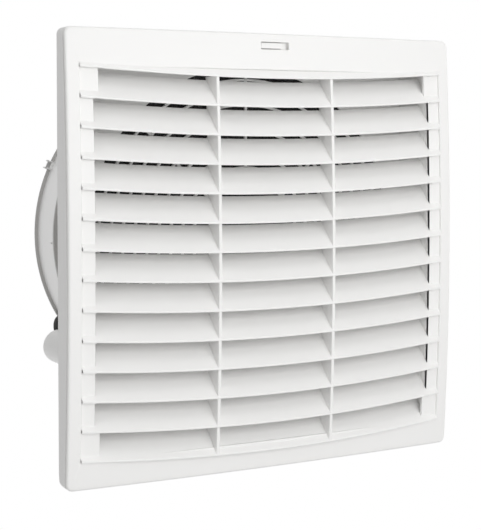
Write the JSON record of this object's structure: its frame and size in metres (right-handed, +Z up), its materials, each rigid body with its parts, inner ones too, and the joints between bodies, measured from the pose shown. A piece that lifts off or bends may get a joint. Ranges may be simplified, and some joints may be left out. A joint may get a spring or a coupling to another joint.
{
  "type": "filter fan",
  "caption": "Square wall-mounted filter fan: hinged louvre cover, mat and grid in a collar, and an axial external-rotor fan in a round drum behind.",
  "frame": {"origin": "middle of the square wall cut-out, on the outer face of the wall that the flange rests on", "axes": "+Z up, +Y into the enclosure along the fan's axis, -Y out through the louvres, +X to the right when facing the louvres"},
  "size_m": [0.323, 0.1731, 0.323],
  "materials": {
    "cover_plastic": "fine satin",
    "housing_plastic": "satin",
    "drum_sheet": "satin",
    "dark_steel": "powder coat",
    "steel": "zinc plated",
    "aluminium": "die cast",
    "laminations": "stacked sheet",
    "copper": "enamelled",
    "rotor_paint": "matt",
    "blade_plastic": "satin",
    "rubber": "matt",
    "foam": "open cell",
    "mat_fibre": "coarse fibre",
    "capacitor_plastic": "gloss",
    "clip_plastic": "satin",
    "terminal_plastic": "satin",
    "brass": "bright"
  },
  "bodies": {
    "housing": {"housing": "housing_plastic", "fan_duct": "housing_plastic", "wall_gasket": "foam", "clip_pins": "steel", "mat_grid": "cover_plastic", "filter_mat": "mat_fibre", "fan_ring": "dark_steel", "ring_screws": "steel", "fan_drum": "drum_sheet", "rim_clips": "steel", "rear_guard": "dark_steel", "motor_flange": "aluminium", "stator_core": "laminations", "stator_winding": "copper", "bearings": "steel", "motor_screws": "steel", "capacitor": "capacitor_plastic", "capacitor_nut": "steel", "terminal_box": "housing_plastic", "terminal_lid": "housing_plastic", "lid_screws": "steel", "terminal_block": "terminal_plastic", "terminal_screws": "brass", "cable_gland": "clip_plastic", "gland_nut": "clip_plastic", "gland_seal": "rubber", "lead_grommet": "rubber", "motor_lead": "rubber"},
    "cover": {"front_cover": "cover_plastic", "hinge_pins": "steel"},
    "latch": {"latch": "cover_plastic", "latch_spring": "steel"},
    "rotor": {"rotor_can": "rotor_paint", "shaft": "steel", "circlip": "steel", "impeller": "blade_plastic"},
    "clip_tl": {"snap_clip_tl": "clip_plastic"},
    "clip_tr": {"snap_clip_tr": "clip_plastic"},
    "clip_bl": {"snap_clip_bl": "clip_plastic"},
    "clip_br": {"snap_clip_br": "clip_plastic"}
  },
  "joints": [
    {"name": "cover_hinge", "type": "hinge", "parent": "housing", "child": "cover", "pos_m": [0, -0.009, -0.1525], "axis": [1, 0, 0], "range_deg": [0, 90]},
    {"name": "latch_slide", "type": "slide", "parent": "cover", "child": "latch", "axis": [1, 0, 0], "range_m": [0, 0.005], "stiffness_N_per_m": 300, "deforming": ["latch_spring"]},
    {"name": "rotor_spin", "type": "hinge", "parent": "housing", "child": "rotor", "pos_m": [0, 0.115, 0.007], "axis": [0, 1, 0], "continuous": true},
    {"name": "clip_tl_flex", "type": "hinge", "parent": "housing", "child": "clip_tl", "pos_m": [-0.14425, 0.0196, 0.08], "axis": [0, 0, 1], "range_deg": [0, 14], "stiffness_Nm_per_rad": 0.8},
    {"name": "clip_tr_flex", "type": "hinge", "parent": "housing", "child": "clip_tr", "pos_m": [0.14425, 0.0196, 0.08], "axis": [0, 0, -1], "range_deg": [0, 14], "stiffness_Nm_per_rad": 0.8},
    {"name": "clip_bl_flex", "type": "hinge", "parent": "housing", "child": "clip_bl", "pos_m": [-0.14425, 0.0196, -0.08], "axis": [0, 0, 1], "range_deg": [0, 14], "stiffness_Nm_per_rad": 0.8},
    {"name": "clip_br_flex", "type": "hinge", "parent": "housing", "child": "clip_br", "pos_m": [0.14425, 0.0196, -0.08], "axis": [0, 0, -1], "range_deg": [0, 14], "stiffness_Nm_per_rad": 0.8}
  ]
}
